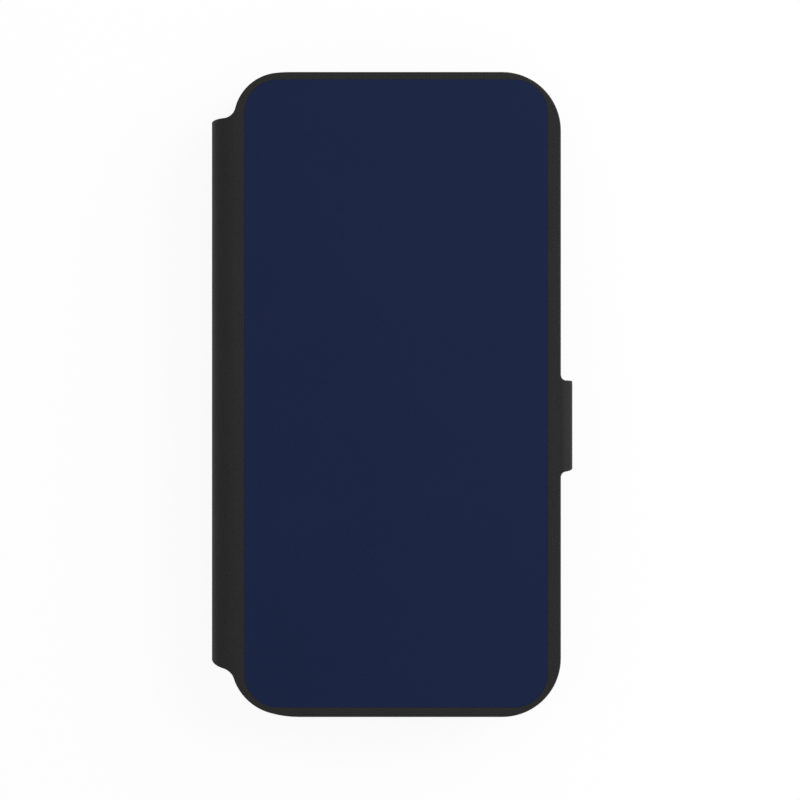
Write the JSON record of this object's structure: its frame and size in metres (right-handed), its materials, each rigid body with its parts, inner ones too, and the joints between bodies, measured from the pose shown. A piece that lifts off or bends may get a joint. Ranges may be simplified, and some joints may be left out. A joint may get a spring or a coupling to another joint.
{
  "type": "phone wallet case",
  "caption": "Folio phone case in black faux leather with a plain navy front panel, a folding spine, a side clasp tab, card pockets and a moulded shell for the phone.",
  "frame": {"origin": "middle of the back cover's outer face, which the case lies on", "axes": "+Z out of the closed front cover, +Y towards the phone's top, +X towards the clasp; the spine is at -X"},
  "size_m": [0.0858, 0.1524, 0.0177],
  "materials": {
    "black_leather": "fine-grain matte faux leather",
    "navy_print": "plain printed faux leather, satin",
    "black_lining": "soft microfibre",
    "greyboard": "pressed board",
    "adhesive": "translucent adhesive film",
    "black_tpu": "soft satin moulded TPU",
    "nickel": "nickel plated"
  },
  "bodies": {
    "back": {"back_skin": "black_leather", "back_board": "greyboard", "back_lining": "black_lining", "shell_tape": "adhesive", "phone_shell": "black_tpu", "shell_magnet": "nickel"},
    "spine": {"spine_skin": "black_leather", "spine_board": "greyboard", "spine_lining": "black_lining"},
    "front_cover": {"front_skin": "black_leather", "print_panel": "navy_print", "front_board": "greyboard", "front_lining": "black_lining", "cash_pocket": "black_lining", "card_pocket_1": "black_lining", "card_pocket_2": "black_lining", "card_pocket_3": "black_lining"},
    "clasp": {"clasp_skin": "black_leather", "clasp_lining": "black_lining", "clasp_keeper": "nickel"},
    "volume_up_button": {"volume_up_button": "black_tpu"},
    "volume_down_button": {"volume_down_button": "black_tpu"},
    "side_button": {"side_button": "black_tpu"}
  },
  "joints": [
    {"name": "back_crease", "type": "hinge", "parent": "back", "child": "spine", "pos_m": [-0.04254, 0, 0.00176], "axis": [0, -1, 0], "range_deg": [0, 90]},
    {"name": "front_crease", "type": "hinge", "parent": "spine", "child": "front_cover", "pos_m": [-0.04254, 0, 0.01594], "axis": [0, -1, 0], "range_deg": [0, 90]},
    {"name": "clasp_fold", "type": "hinge", "parent": "front_cover", "child": "clasp", "pos_m": [0.04065, -0.00765, 0.01685], "axis": [0, -1, 0], "range_deg": [0, 90]},
    {"name": "volume_up_press", "type": "slide", "parent": "back", "child": "volume_up_button", "axis": [1, 0, 0], "range_m": [0, 0.0005], "stiffness_N_per_m": 3000},
    {"name": "volume_down_press", "type": "slide", "parent": "back", "child": "volume_down_button", "axis": [1, 0, 0], "range_m": [0, 0.0005], "stiffness_N_per_m": 3000},
    {"name": "side_press", "type": "slide", "parent": "back", "child": "side_button", "axis": [-1, 0, 0], "range_m": [0, 0.0005], "stiffness_N_per_m": 3000}
  ]
}
